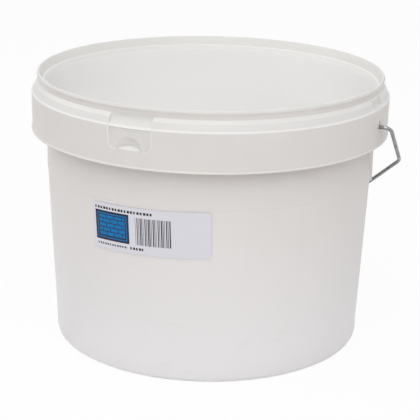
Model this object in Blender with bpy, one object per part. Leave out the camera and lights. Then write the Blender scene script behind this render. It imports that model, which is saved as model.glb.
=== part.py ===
"""Plastic mixing bucket with a steel bail.

A tapered tub with a thick rim, a two-step ledge and a hanging collar. A tear tab fills a window in
the front of the collar. A bent wire bail turns in two keyholes in the collar and carries a turning
grip. A label lies on the wall.

Metres, +Z up. The origin is the middle of the foot's plane. The tab faces -Y, the bail turns about
an axis along X, and it hangs at the back, over +Y.
"""

import math

import bmesh
import bpy
from mathutils import Matrix, Vector

MM = 0.001

# Clearances
TOUCH_GAP = 0.3 * MM        # between two pieces that lie against each other
TAB_SLIT = 0.6 * MM         # open slit round the tear tab
PIN_CLEARANCE = 0.4 * MM    # round the wire in its keyhole
HOOK_CLEARANCE = 0.35 * MM  # between the wire's hook and the boss
GRIP_CLEARANCE = 0.35 * MM  # round the wire in the grip
REST_GAP = 0.5 * MM         # between the hanging grip and the tub, or the ground
RUN_CLEARANCE = 1.0 * MM    # between the hanging wire's long runs and the tub's widest wall, seen from above
OVERLAP = 0.6 * MM          # how far a web or block reaches into the wall that carries it

# Tub, overall
TUB_HEIGHT = 251.2 * MM
WALL = 2.0 * MM
FLOOR = 2.4 * MM
SEGMENTS = 72               # round the tub

# Rim, ledge and collar. Drops are measured down from the top of the rim
COLLAR_R = 165.0 * MM
COLLAR_FLARE = 0.3 * MM     # the collar is this much wider at its lower edge
COLLAR_DROP = 17.9 * MM
COLLAR_DEPTH = 34.8 * MM
LEDGE_WIDTH = 6.4 * MM      # collar's edge to neck
STEP_WIDTH = 3.5 * MM       # collar's edge to the crease between the two slopes
STEP_DROP = 11.1 * MM
NECK_DROP = 8.2 * MM
NECK_FOOT = 0.1 * MM        # what the pocket and window leave of the ledge at the neck
BEAD_PROUD = 1.4 * MM       # the rim's bead stands out from the neck by this
BEAD_DROP = 2.2 * MM
BEAD_UNDERSIDE = 2.4 * MM   # height of the slope from the bead back to the neck
CHAMFER = 1.5 * MM          # along the collar's upper edge
HEM_PROUD = 0.8 * MM        # the collar's lower edge stands out by this
HEM_HEIGHT = 0.7 * MM
CROWN_WIDTH = 1.6 * MM      # flat top of the rim
SEAT_DROP = 7.8 * MM        # depth of the steep lid seat inside the rim
SEAT_WIDTH = 2.5 * MM       # the seat narrows by this from the crown to its foot
SHELF_WIDTH = 1.8 * MM      # shelf at the seat's foot, on which the lid rests
SHELF_FALL = 1.0 * MM
SHELF_FOOT = 3.6 * MM       # seat's foot down to where the shelf has run out into the wall
ROOF_THICKNESS = 3.6 * MM   # neck's foot to the hollow under the ledge
EDGE_ROUND = 0.7 * MM

# Wall
COLLAR_STANDOFF = 13.8 * MM # collar's outside to the wall's outside
WALL_FLARE = 2.2 * MM       # the wall opens this much more behind the collar
THROAT_DEPTH = 36.2 * MM    # plain band from the collar down to a fine ring line
RING_STEP = 0.3 * MM
TAPER = 6.9 * MM            # the wall narrows by this from the ring line to the foot band
FOOT_BAND = 24.0 * MM       # height of the foot band, which is steeper than the wall
FOOT_TAPER = 0.8 * MM
FOOT_FILLET = 6.0 * MM
FOOT_RING = 7.0 * MM        # width of the ring that the tub stands on
FOOT_RISE = 3.0 * MM        # the base panel is this far above the floor
CORNER_FILLET = 8.0 * MM    # inside, between the wall and the floor

# Ears. The two are alike, at +X and -X
PIVOT_DROP = 34.4 * MM
POCKET_WIDTH = 25.2 * MM
POCKET_WEB = 2.0 * MM
KEYHOLE_SLOT = 2.8 * MM     # width of the keyhole's slot
KEYHOLE_RISE = 5.6 * MM     # pivot to the top of the slot
EAR_BOSS_R = 6.5 * MM
EAR_BOSS = 1.6 * MM         # thickness added to the collar round the keyhole

# Pads on the wall behind the ears, where the hanging bail comes near it
PAD_PROUD = 1.5 * MM
PAD_DEPTH = 45.5 * MM       # from the collar down
PAD_ANGLE = math.radians(22.5)      # from the ear to the middle of the pad
PAD_BOTTOM_WIDTH = 33.0 * MM
PAD_TOP_WIDTH = 116.0 * MM

# Tear tab, in the front of the collar
TAB_WIDTH = 40.0 * MM
TAB_LENGTH = 19.4 * MM      # the window's depth below the collar's upper edge
TAB_CORNER = 6.0 * MM
TAB_WALL = 2.0 * MM
TAB_RECESS = 0.6 * MM       # the panel lies this far behind the lip above it
TAB_LIP = 2.2 * MM
TAB_HOLLOW = 0.9 * MM       # how far the tab's slope is dished
SCOOP_R = 12.0 * MM
SCOOP_DEPTH = 4.0 * MM
SCOOP_WALL = 1.6 * MM
RAMP_SLOPE = math.radians(43.0)
BRIDGE = 1.4 * MM           # width of one thin bridge across the slit
BRIDGE_DEPTH = 1.0 * MM

# Bail
WIRE_D = 3.5 * MM
BAIL_STANDOFF = 10.3 * MM   # collar to the wire's bend outside the ear
SHOULDER_STANDOFF = 6.7 * MM        # collar to the wire's shoulder
SHOULDER_REACH = 60.3 * MM  # pivot axis to the shoulder
MIDDLE_REACH = 46.6 * MM    # the straight middle reaches this far beyond the collar's radius
HOOK_LENGTH = 7.5 * MM
HOOK_BEND = 3.0 * MM
PIVOT_BEND = 6.0 * MM
SHOULDER_BEND = 10.0 * MM
MIDDLE_BEND = 18.0 * MM

# Grip
GRIP_ROOM = 11.5 * MM       # grip's end to the corner of the bend beside it
GRIP_R = 9.0 * MM
GRIP_END_R = 8.0 * MM
GRIP_WAIST_R = 7.8 * MM
END_ROUND = 1.5 * MM
SHOULDER_ROUND = 4.0 * MM
WAIST_ROUND = 60.0 * MM

# Label
LABEL_WIDTH = 112.2 * MM
LABEL_HEIGHT = 42.6 * MM
LABEL_CORNER = 3.0 * MM
LABEL_THICKNESS = 0.25 * MM
LABEL_DROP = 2.6 * MM       # ring line to the label's upper edge, at its middle
LABEL_OFFSET = 10.2 * MM    # to the right of the tab's centre line
LABEL_TILT = math.radians(1.3)

# Worked out
COLLAR_TOP_Z = TUB_HEIGHT - COLLAR_DROP
COLLAR_BOTTOM_Z = COLLAR_TOP_Z - COLLAR_DEPTH
COLLAR_LOW_R = COLLAR_R + COLLAR_FLARE
NECK_R = COLLAR_R - LEDGE_WIDTH
NECK_Z = TUB_HEIGHT - NECK_DROP
ROOF_Z = NECK_Z - ROOF_THICKNESS
STEP_R = COLLAR_R - STEP_WIDTH
STEP_Z = TUB_HEIGHT - STEP_DROP
BEAD_R = NECK_R + BEAD_PROUD
BEAD_Z = TUB_HEIGHT - BEAD_DROP
CROWN_R = BEAD_R - EDGE_ROUND
PIVOT_Z = TUB_HEIGHT - PIVOT_DROP
THROAT_R = COLLAR_R - COLLAR_STANDOFF
RING_Z = COLLAR_BOTTOM_Z - THROAT_DEPTH
FOOT_BAND_R = THROAT_R - RING_STEP - TAPER
FOOT_R = FOOT_BAND_R - FOOT_TAPER
PAD_R = THROAT_R + PAD_PROUD
PAD_BOTTOM_Z = COLLAR_BOTTOM_Z - PAD_DEPTH
BOSS_FACE_R = COLLAR_R - WALL - EAR_BOSS
TAB_BOTTOM_Z = COLLAR_TOP_Z - TAB_LENGTH
TAB_TOP_Z = NECK_Z + EDGE_ROUND
CUT_R = NECK_R + NECK_FOOT
TAB_INNER_R = CUT_R + TOUCH_GAP
PANEL_R = COLLAR_R - TAB_RECESS
SCOOP_BALL_R = (SCOOP_R ** 2 + SCOOP_DEPTH ** 2) / (2 * SCOOP_DEPTH)
SCOOP_BALL_Y = -(PANEL_R - SCOOP_DEPTH + SCOOP_BALL_R)
HOLE_R = WIRE_D / 2 + PIN_CLEARANCE
BAIL_REACH = COLLAR_R + MIDDLE_REACH
LABEL_Z = RING_Z - LABEL_DROP - LABEL_HEIGHT / 2
ARC_STEPS = 3


# ---- helpers -------------------------------------------------------------------------------------

def clear_scene():
    for item in list(bpy.data.objects):
        bpy.data.objects.remove(item, do_unlink=True)


def plastic(name, colour, roughness):
    material = bpy.data.materials.new(name)
    material.use_nodes = True
    shader = material.node_tree.nodes["Principled BSDF"]
    shader.inputs["Base Color"].default_value = (*colour, 1.0)
    shader.inputs["Roughness"].default_value = roughness
    return material


def metal(name, colour, roughness):
    material = plastic(name, colour, roughness)
    material.node_tree.nodes["Principled BSDF"].inputs["Metallic"].default_value = 1.0
    return material


def mesh_object(name, bm, material=None):
    """Close a bmesh into a new object at the origin, smooth but for its sharp edges."""
    bmesh.ops.recalc_face_normals(bm, faces=bm.faces)
    mesh = bpy.data.meshes.new(name)
    bm.to_mesh(mesh)
    bm.free()
    mesh.shade_smooth()
    mesh.set_sharp_from_angle(angle=math.radians(35))
    item = bpy.data.objects.new(name, mesh)
    bpy.context.scene.collection.objects.link(item)
    if material:
        mesh.materials.append(material)
    return item


def as_cutter(item):
    item.hide_render = True
    item.display_type = "WIRE"
    return item


def boolean(item, tool, operation):
    modifier = item.modifiers.new(f"{operation.lower()}_{tool.name}", "BOOLEAN")
    modifier.operation = operation
    modifier.solver = "EXACT"
    modifier.object = as_cutter(tool)


def rounded(corners, steps=ARC_STEPS):
    """Points of an outline whose corners are (x, y) or (x, y, fillet radius)."""
    points = []
    for index, corner in enumerate(corners):
        here = Vector(corner[:2])
        radius = corner[2] if len(corner) > 2 else 0.0
        if radius == 0.0:
            points.append(here)
            continue
        to_last = (Vector(corners[index - 1][:2]) - here).normalized()
        to_next = (Vector(corners[(index + 1) % len(corners)][:2]) - here).normalized()
        half = to_last.angle(to_next) / 2
        centre = here + (to_last + to_next).normalized() * radius / math.sin(half)
        start = here + to_last * radius / math.tan(half) - centre
        turn = start.angle_signed(here + to_next * radius / math.tan(half) - centre)
        for step in range(steps + 1):
            spoke = start.copy()
            spoke.rotate(Matrix.Rotation(-turn * step / steps, 2))
            points.append(centre + spoke)
    return points


def turned(name, outline, material=None, segments=SEGMENTS, closed=False):
    """A solid turned about Z from an outline of (radius, z) points."""
    bm = bmesh.new()
    verts = [bm.verts.new((point[0], 0.0, point[1])) for point in outline]
    edges = [bm.edges.new(pair) for pair in zip(verts, verts[1:])]
    if closed:
        edges.append(bm.edges.new((verts[-1], verts[0])))
    bmesh.ops.spin(bm, geom=verts + edges, cent=(0, 0, 0), axis=(0, 0, 1),
                   angle=math.tau, steps=segments, use_merge=True)
    bmesh.ops.remove_doubles(bm, verts=bm.verts, dist=0.01 * MM)
    return mesh_object(name, bm, material)


def prism(name, outline, depth, matrix):
    """An outline of (x, y) points pushed along +Z by depth, then placed by a matrix."""
    bm = bmesh.new()
    face = bm.faces.new([bm.verts.new((point[0], point[1], 0.0)) for point in outline])
    pushed = bmesh.ops.extrude_face_region(bm, geom=[face])
    moved = [part for part in pushed["geom"] if isinstance(part, bmesh.types.BMVert)]
    bmesh.ops.translate(bm, verts=moved, vec=(0, 0, depth))
    bmesh.ops.transform(bm, matrix=matrix, verts=bm.verts)
    return mesh_object(name, bm)


def box(name, low, high):
    outline = [(low[0], low[1]), (high[0], low[1]), (high[0], high[1]), (low[0], high[1])]
    return prism(name, outline, high[2] - low[2], Matrix.Translation((0, 0, low[2])))


def join(name, items):
    """One object holding the separate solids of several."""
    bm = bmesh.new()
    for item in items:
        bm.from_mesh(item.data)
        bpy.data.objects.remove(item, do_unlink=True)
    return mesh_object(name, bm)


def facing(angle):
    """Places a prism drawn in (sideways, up) so that it grows outwards at an angle from +X."""
    out = Vector((math.cos(angle), math.sin(angle), 0.0))
    side = Vector((-math.sin(angle), math.cos(angle), 0.0))
    up = Vector((0.0, 0.0, 1.0))
    return Matrix((side, up, out)).transposed().to_4x4()


# ---- tub -----------------------------------------------------------------------------------------

def wall_radius(z):
    """Outer radius of the bare wall below the collar."""
    if z >= RING_Z:
        return THROAT_R
    if z <= FOOT_BAND:
        return FOOT_R + FOOT_TAPER * z / FOOT_BAND
    return FOOT_BAND_R + TAPER * (z - FOOT_BAND) / (RING_Z - FOOT_BAND)


def collared_radius(z):
    """Outer radius of the wall behind the collar, where it opens towards the rim."""
    return THROAT_R + WALL_FLARE * (z - COLLAR_BOTTOM_Z) / (NECK_Z - WALL - COLLAR_BOTTOM_Z)


def tub_outline():
    """From the middle of the underside, up the outside, over the rim and back down the inside."""
    ring_inner = FOOT_R - FOOT_FILLET - FOOT_RING
    seat_r = CROWN_R - CROWN_WIDTH - SEAT_WIDTH
    seat_z = TUB_HEIGHT - SEAT_DROP
    shelf_foot_z = seat_z - SHELF_FOOT
    return rounded([
        (0.0, FOOT_RISE),
        (ring_inner - FOOT_RISE / 2, FOOT_RISE),
        (ring_inner, 0.0),
        (FOOT_R, 0.0, FOOT_FILLET),
        (FOOT_BAND_R, FOOT_BAND),
        (THROAT_R - RING_STEP, RING_Z),
        (THROAT_R, RING_Z + RING_STEP),
        (THROAT_R, COLLAR_BOTTOM_Z),
        (collared_radius(ROOF_Z), ROOF_Z),
        (STEP_R - WALL * 1.2, ROOF_Z),
        (STEP_R - WALL * 0.8, STEP_Z - WALL * 0.8),
        (COLLAR_R - WALL, COLLAR_TOP_Z - WALL / 2),
        (COLLAR_LOW_R - WALL, COLLAR_BOTTOM_Z),
        (COLLAR_LOW_R, COLLAR_BOTTOM_Z),
        (COLLAR_LOW_R, COLLAR_BOTTOM_Z + HEM_HEIGHT),
        (COLLAR_LOW_R - HEM_PROUD, COLLAR_BOTTOM_Z + HEM_HEIGHT + 2 * HEM_PROUD),
        (COLLAR_R, COLLAR_TOP_Z),
        (COLLAR_R - CHAMFER, COLLAR_TOP_Z + CHAMFER),
        (STEP_R, STEP_Z),
        (NECK_R, NECK_Z),
        (NECK_R, BEAD_Z - BEAD_UNDERSIDE),
        (BEAD_R, BEAD_Z),
        (CROWN_R, TUB_HEIGHT),
        (CROWN_R - CROWN_WIDTH, TUB_HEIGHT),
        (seat_r, seat_z),
        (seat_r - SHELF_WIDTH, seat_z - SHELF_FALL),
        (collared_radius(shelf_foot_z) - WALL, shelf_foot_z),
        (THROAT_R - WALL, COLLAR_BOTTOM_Z),
        (THROAT_R - WALL, RING_Z),
        (FOOT_BAND_R - WALL, FOOT_BAND),
        (FOOT_R - WALL, FOOT_RISE + FLOOR, CORNER_FILLET),
        (0.0, FOOT_RISE + FLOOR),
    ])


def ear_span(name, half):
    """A slab along X that takes in both ears, to this far on each side of their middle."""
    return box(name, (-COLLAR_R * 2, -half, 0), (COLLAR_R * 2, half, TUB_HEIGHT))


def ear_blocks():
    """Solid ends and floors of the two ledge pockets, under the ledge."""
    inside = 0.8 * MM
    low = COLLAR_TOP_Z - POCKET_WEB
    high = ROOF_Z + OVERLAP
    ring = turned("ear_blocks", [
        (collared_radius(low) - OVERLAP, low),
        (COLLAR_R - inside, low),
        (COLLAR_R - inside, COLLAR_TOP_Z - inside),
        (STEP_R - inside, STEP_Z - inside),
        (NECK_R, high),
        (collared_radius(ROOF_Z) - OVERLAP, high),
    ], closed=True)
    boolean(ring, ear_span("ear_blocks_span", POCKET_WIDTH / 2 + POCKET_WEB), "INTERSECT")
    return ring


def ear_ribs():
    """Two webs at each ear, between the wall and the collar."""
    low = COLLAR_BOTTOM_Z + WALL
    top = COLLAR_TOP_Z - OVERLAP
    ring = turned("ear_ribs", [
        (collared_radius(low) - OVERLAP, low),
        (COLLAR_R - OVERLAP, low),
        (COLLAR_R - OVERLAP, top),
        (collared_radius(top) - OVERLAP, top),
    ], closed=True)
    near = POCKET_WIDTH / 2
    far = near + POCKET_WEB
    reach = COLLAR_R * 2
    slabs = join("ear_ribs_span", [
        box("slab_front", (-reach, -far, 0), (reach, -near, TUB_HEIGHT)),
        box("slab_back", (-reach, near, 0), (reach, far, TUB_HEIGHT)),
    ])
    boolean(ring, slabs, "INTERSECT")
    return ring


def ear_bosses():
    """Thickening round each keyhole, on the inner side of the collar."""
    disc = [(EAR_BOSS_R * math.cos(math.tau * n / 24), EAR_BOSS_R * math.sin(math.tau * n / 24))
            for n in range(24)]
    solids = []
    for angle in (0.0, math.pi):
        place = facing(angle) @ Matrix.Translation((0, PIVOT_Z, BOSS_FACE_R))
        solids.append(prism("boss", disc, EAR_BOSS + OVERLAP, place))
    return join("ear_bosses", solids)


def keyholes():
    """A round hole for the wire, with a slot above it that lets the hook through."""
    steps = 16
    slot = KEYHOLE_SLOT / 2
    start = math.acos(slot / HOLE_R)
    sweep = math.tau - (math.pi - 2 * start)
    outline = [(HOLE_R * math.cos(start - sweep * n / steps), HOLE_R * math.sin(start - sweep * n / steps))
               for n in range(steps + 1)]
    outline += [(-slot, KEYHOLE_RISE), (slot, KEYHOLE_RISE)]
    solids = []
    for angle in (0.0, math.pi):
        place = facing(angle) @ Matrix.Translation((0, PIVOT_Z, BOSS_FACE_R - OVERLAP))
        solids.append(prism("keyhole", outline, WALL + EAR_BOSS + 4 * OVERLAP, place))
    return join("keyholes", solids)


def ledge_pockets():
    """Cuts the ledge away over each ear, down to a flat floor level with the collar's edge."""
    ring = turned("ledge_pockets", [
        (CUT_R, COLLAR_TOP_Z),
        (COLLAR_R + WALL, COLLAR_TOP_Z),
        (COLLAR_R + WALL, NECK_Z + EDGE_ROUND),
        (CUT_R, NECK_Z + EDGE_ROUND),
    ], closed=True)
    boolean(ring, ear_span("ledge_pockets_span", POCKET_WIDTH / 2), "INTERSECT")
    return ring


def bail_pad(name, side):
    """A raised pad whose slanting sides narrow downwards, behind the ear on one side (+1 or -1)."""
    angle = math.pi / 2 - side * (math.pi / 2 - PAD_ANGLE)
    band = turned(name, [
        (wall_radius(PAD_BOTTOM_Z) - OVERLAP, PAD_BOTTOM_Z),
        (wall_radius(PAD_BOTTOM_Z) + RING_STEP, PAD_BOTTOM_Z),
        (PAD_R, PAD_BOTTOM_Z + PAD_PROUD),
        (PAD_R, COLLAR_BOTTOM_Z + WALL),
        (THROAT_R - OVERLAP, COLLAR_BOTTOM_Z + WALL),
    ], closed=True)
    low = PAD_BOTTOM_WIDTH / 2
    top = PAD_TOP_WIDTH / 2
    outline = [(-low, PAD_BOTTOM_Z - WALL), (low, PAD_BOTTOM_Z - WALL),
               (top, COLLAR_BOTTOM_Z + 2 * WALL), (-top, COLLAR_BOTTOM_Z + 2 * WALL)]
    boolean(band, prism(name + "_span", outline, COLLAR_R, facing(angle)), "INTERSECT")
    return band


def window_outline(inset):
    """The tab's outline seen from the front, as (x, z), drawn in by an inset."""
    half = TAB_WIDTH / 2 - inset
    bottom = TAB_BOTTOM_Z + inset
    corner = TAB_CORNER - inset
    return rounded([(-half, bottom, corner), (half, bottom, corner), (half, TAB_TOP_Z), (-half, TAB_TOP_Z)],
                   steps=5)


def window_prism(name, inset):
    # the front faces -Y, so sideways runs along +X
    return prism(name, window_outline(inset), COLLAR_R * 1.2, facing(-math.pi / 2))


def tab_window():
    """The opening in the collar and ledge that the tear tab fills."""
    ring = turned("tab_window", [
        (CUT_R, TAB_BOTTOM_Z - WALL),
        (COLLAR_R + WALL, TAB_BOTTOM_Z - WALL),
        (COLLAR_R + WALL, TAB_TOP_Z),
        (CUT_R, TAB_TOP_Z),
    ], closed=True)
    boolean(ring, window_prism("tab_window_span", 0.0), "INTERSECT")
    return ring


def scoop_ball(name, radius):
    bm = bmesh.new()
    place = Matrix.Translation((0, SCOOP_BALL_Y, TAB_BOTTOM_Z)) @ Matrix.Rotation(math.pi / 2, 4, "X")
    bmesh.ops.create_uvsphere(bm, u_segments=48, v_segments=32, radius=radius, matrix=place)
    return mesh_object(name, bm)


def under_ramp(name, lift, half_width):
    """A wedge under the ramp's plane, which rises inwards from the collar's face."""
    run = SCOOP_R
    rise = run * math.tan(RAMP_SLOPE)
    outline = [(0, -rise), (0, lift), (-run, lift + rise), (-run, -rise)]
    # drawn as (outwards, up), then pushed sideways along +X
    place = Matrix(((0, 0, 1, -half_width), (-1, 0, 0, -PANEL_R), (0, 1, 0, TAB_BOTTOM_Z), (0, 0, 0, 1)))
    return prism(name, outline, 2 * half_width, place)


def thumb_ramp():
    """The lower half of the thumb scoop, standing on the collar under the tab."""
    ramp = scoop_ball("thumb_ramp", SCOOP_BALL_R - TOUCH_GAP)
    boolean(ramp, under_ramp("thumb_ramp_plane", 0.0, SCOOP_R), "INTERSECT")
    trim = turned("thumb_ramp_trim", [
        (NECK_R, TAB_BOTTOM_Z - COLLAR_FLARE - WALL * 2),
        (PANEL_R, TAB_BOTTOM_Z - COLLAR_FLARE - WALL * 2),
        (PANEL_R, TAB_BOTTOM_Z + SCOOP_R),
        (NECK_R, TAB_BOTTOM_Z + SCOOP_R),
    ], closed=True)
    boolean(ramp, trim, "INTERSECT")
    return ramp


def bridges():
    """Nubs that reach across the slit to just short of the tab."""
    reach = TAB_SLIT - TOUCH_GAP
    half = TAB_WIDTH / 2
    root = PANEL_R - BRIDGE_DEPTH - WALL / 2
    solids = []
    for side in (-1, 1):
        ends = sorted((side * (half - reach), side * (half + OVERLAP)))
        z = COLLAR_TOP_Z - 0.22 * TAB_LENGTH
        y = -math.sqrt(root ** 2 - half ** 2)
        solids.append(box("side_bridge", (ends[0], y - BRIDGE_DEPTH, z), (ends[1], y, z + BRIDGE)))
        x = side * (SCOOP_R + TAB_CORNER * 0.2)
        y = -math.sqrt(root ** 2 - x ** 2)
        solids.append(box("low_bridge", (x - BRIDGE / 2, y - BRIDGE_DEPTH, TAB_BOTTOM_Z - OVERLAP),
                          (x + BRIDGE / 2, y, TAB_BOTTOM_Z + reach)))
    return join("bridges", solids)


def make_tub(material):
    tub = turned("tub", tub_outline(), material)
    boolean(tub, ear_blocks(), "UNION")
    boolean(tub, ear_ribs(), "UNION")
    boolean(tub, ear_bosses(), "UNION")
    boolean(tub, bail_pad("pad_right", 1), "UNION")
    boolean(tub, bail_pad("pad_left", -1), "UNION")
    boolean(tub, ledge_pockets(), "DIFFERENCE")
    boolean(tub, keyholes(), "DIFFERENCE")
    boolean(tub, tab_window(), "DIFFERENCE")
    boolean(tub, thumb_ramp(), "UNION")
    boolean(tub, bridges(), "UNION")
    return tub


# ---- tear tab ------------------------------------------------------------------------------------

def tab_outline():
    """Section of the tab: the dished slope from the neck, the lip, and the panel below it."""
    top = Vector((TAB_INNER_R, NECK_Z))
    lip = Vector((COLLAR_R, COLLAR_TOP_Z))
    run = lip - top
    across = Vector((run.y, -run.x)).normalized()
    slope = [top + run * share + across * 4 * TAB_HOLLOW * share * (1 - share)
             for share in (0.0, 0.2, 0.4, 0.6, 0.8, 1.0)]
    lip_low = COLLAR_TOP_Z - TAB_LIP
    inner = PANEL_R - TAB_WALL
    return slope + [
        Vector((COLLAR_R, lip_low + TAB_RECESS)),
        Vector((PANEL_R, lip_low)),
        Vector((PANEL_R, TAB_BOTTOM_Z)),
        Vector((inner, TAB_BOTTOM_Z)),
        Vector((inner, COLLAR_TOP_Z - TAB_WALL)),
        Vector((STEP_R - TAB_WALL, STEP_Z - 1.4 * TAB_WALL)),
        Vector((TAB_INNER_R, NECK_Z - 1.4 * TAB_WALL)),
    ]


def scoop_shell():
    """The thickness behind the thumb scoop."""
    shell = scoop_ball("scoop_shell", SCOOP_BALL_R + SCOOP_WALL)
    keep = turned("scoop_shell_keep", [
        (COLLAR_R - 3 * WALL - SCOOP_DEPTH, TAB_BOTTOM_Z + TAB_SLIT),
        (PANEL_R - TAB_WALL / 2, TAB_BOTTOM_Z + TAB_SLIT),
        (PANEL_R - TAB_WALL / 2, COLLAR_TOP_Z - TAB_WALL),
        (COLLAR_R - 3 * WALL - SCOOP_DEPTH, COLLAR_TOP_Z - TAB_WALL),
    ], closed=True)
    boolean(shell, keep, "INTERSECT")
    return shell


def make_tear_tab(material):
    tab = turned("tear_tab", tab_outline(), material, closed=True)
    boolean(tab, window_prism("tear_tab_span", TAB_SLIT), "INTERSECT")
    boolean(tab, scoop_shell(), "UNION")
    boolean(tab, scoop_ball("scoop", SCOOP_BALL_R), "DIFFERENCE")
    boolean(tab, under_ramp("tear_tab_relief", TAB_SLIT, SCOOP_R + SCOOP_WALL), "DIFFERENCE")
    return tab


# ---- bail ----------------------------------------------------------------------------------------

def hang_angle():
    """How far below level the bail comes to rest, with the grip against the tub or the ground."""

    def clear(angle):
        z = PIVOT_Z - BAIL_REACH * math.sin(angle)
        past_wall = BAIL_REACH * math.cos(angle) - wall_radius(z)
        return min(past_wall, z) > GRIP_R + REST_GAP

    angle = 0.0
    step = math.radians(0.01)
    while clear(angle + step):
        angle += step
    return angle


def middle_half_width(angle):
    """Half the straight middle's width, so that the long runs pass just clear of the wall.

    Seen from above, a run is the line from the shoulder that touches a circle a little wider than
    the wall, and it ends where it meets the middle.
    """
    flat = math.cos(angle)
    shoulder = Vector((COLLAR_R + SHOULDER_STANDOFF, SHOULDER_REACH * flat))
    circle = THROAT_R + RUN_CLEARANCE
    touch = math.atan2(shoulder.y, shoulder.x) + math.acos(circle / shoulder.length)
    return (circle - BAIL_REACH * flat * math.sin(touch)) / math.cos(touch)


def bail_corners():
    """The wire's corners as (along X, away from the pivot axis, bend radius), hook to hook."""
    hook_x = BOSS_FACE_R - HOOK_CLEARANCE - WIRE_D / 2
    half = [
        (hook_x, -HOOK_LENGTH),
        (hook_x, 0.0, HOOK_BEND),
        (COLLAR_R + BAIL_STANDOFF, 0.0, PIVOT_BEND),
        (COLLAR_R + SHOULDER_STANDOFF, SHOULDER_REACH, SHOULDER_BEND),
        (MIDDLE_HALF, BAIL_REACH, MIDDLE_BEND),
    ]
    return half + [(-corner[0], *corner[1:]) for corner in reversed(half)]


def make_bail(material, parent):
    """The bail as a bent round wire, drawn in its parent's XY plane: Y is away from the pivot."""
    curve = bpy.data.curves.new("bail_wire", "CURVE")
    curve.dimensions = "3D"
    curve.bevel_depth = WIRE_D / 2
    curve.bevel_resolution = 4
    curve.use_fill_caps = True
    points = rounded(bail_corners(), steps=5)
    spline = curve.splines.new("POLY")
    spline.points.add(len(points) - 1)
    for slot, point in zip(spline.points, points):
        slot.co = (point.x, point.y, 0.0, 1.0)
    curve.materials.append(material)
    bail = bpy.data.objects.new("bail_wire", curve)
    bpy.context.scene.collection.objects.link(bail)
    bail.parent = parent
    return bail


def make_grip(material, parent):
    """A turned tube on the bail's straight middle, waisted between two fuller ends."""
    half = MIDDLE_HALF - GRIP_ROOM
    bore = WIRE_D / 2 + GRIP_CLEARANCE
    outline = rounded([
        (bore, half),
        (bore, -half),
        (GRIP_END_R, -half, END_ROUND),
        (GRIP_R, -half * 0.8, SHOULDER_ROUND),
        (GRIP_WAIST_R, 0.0, WAIST_ROUND),
        (GRIP_R, half * 0.8, SHOULDER_ROUND),
        (GRIP_END_R, half, END_ROUND),
    ], steps=4)
    grip = turned("grip", outline, material, segments=28, closed=True)
    grip.parent = parent
    grip.rotation_euler = (0.0, math.pi / 2, 0.0)
    return grip


def empty(name, location, parent=None):
    item = bpy.data.objects.new(name, None)
    bpy.context.scene.collection.objects.link(item)
    item.location = location
    item.parent = parent
    return item


# ---- label ---------------------------------------------------------------------------------------

def label_half_height(u):
    """Half the label's height at a distance u from its middle, less near its round corners."""
    past = abs(u) - (LABEL_WIDTH / 2 - LABEL_CORNER)
    if past <= 0:
        return LABEL_HEIGHT / 2
    drop = LABEL_CORNER - math.sqrt(max(LABEL_CORNER ** 2 - past ** 2, 0.0))
    return LABEL_HEIGHT / 2 - drop


def on_wall(u, v, lift):
    """A point of the label: u along it, v up it, lift off the wall."""
    across = u * math.cos(LABEL_TILT) - v * math.sin(LABEL_TILT) + LABEL_OFFSET
    z = LABEL_Z + u * math.sin(LABEL_TILT) + v * math.cos(LABEL_TILT)
    middle = wall_radius(LABEL_Z)
    angle = across / middle
    radius = wall_radius(min(z, RING_Z - RING_STEP)) + lift
    return (radius * math.sin(angle), -radius * math.cos(angle), z)


def make_label(material):
    inner_half = LABEL_WIDTH / 2 - LABEL_CORNER
    columns = 40
    stations = [inner_half * (2 * n / columns - 1) for n in range(columns + 1)]
    ends = [inner_half + LABEL_CORNER * math.sin(math.radians(angle)) for angle in (25, 50, 70, 84)]
    stations = [-u for u in reversed(ends)] + stations + ends
    bm = bmesh.new()
    rings = []
    for u in stations:
        v = label_half_height(u)
        corners = [(-v, TOUCH_GAP), (v, TOUCH_GAP), (v, TOUCH_GAP + LABEL_THICKNESS),
                   (-v, TOUCH_GAP + LABEL_THICKNESS)]
        rings.append([bm.verts.new(on_wall(u, height, lift)) for height, lift in corners])
    for ring, after in zip(rings, rings[1:]):
        for n in range(4):
            bm.faces.new((ring[n], ring[(n + 1) % 4], after[(n + 1) % 4], after[n]))
    bm.faces.new(rings[0])
    bm.faces.new(rings[-1])
    return mesh_object("label", bm, material)


# ---- assembly ------------------------------------------------------------------------------------

HANG_ANGLE = hang_angle()
MIDDLE_HALF = middle_half_width(HANG_ANGLE)

clear_scene()
white = plastic("white_polypropylene", (0.86, 0.86, 0.84), 0.42)
tab_white = plastic("tab_polypropylene", (0.86, 0.86, 0.84), 0.42)
grip_white = plastic("grip_plastic", (0.80, 0.80, 0.79), 0.5)
steel = metal("galvanised_wire", (0.55, 0.56, 0.56), 0.35)
paper = plastic("label_film", (0.83, 0.82, 0.86), 0.5)

make_tub(white)
make_tear_tab(tab_white)
make_label(paper)

bail_axis = empty("bail_axis", (0.0, 0.0, PIVOT_Z))
bail_axis.rotation_euler = (-HANG_ANGLE, 0.0, 0.0)
make_bail(steel, bail_axis)
grip_axis = empty("grip_axis", (0.0, BAIL_REACH, 0.0), bail_axis)
make_grip(grip_white, grip_axis)
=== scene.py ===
"""Looks of a white plastic mixing bucket with a steel bail: modelled surfaces, finishes, light and camera.

Metres, +Z up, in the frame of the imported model. The tear tab faces -Y and the bail hangs over +Y.
"""

import math

import bpy
from mathutils import Matrix, Vector


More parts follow.
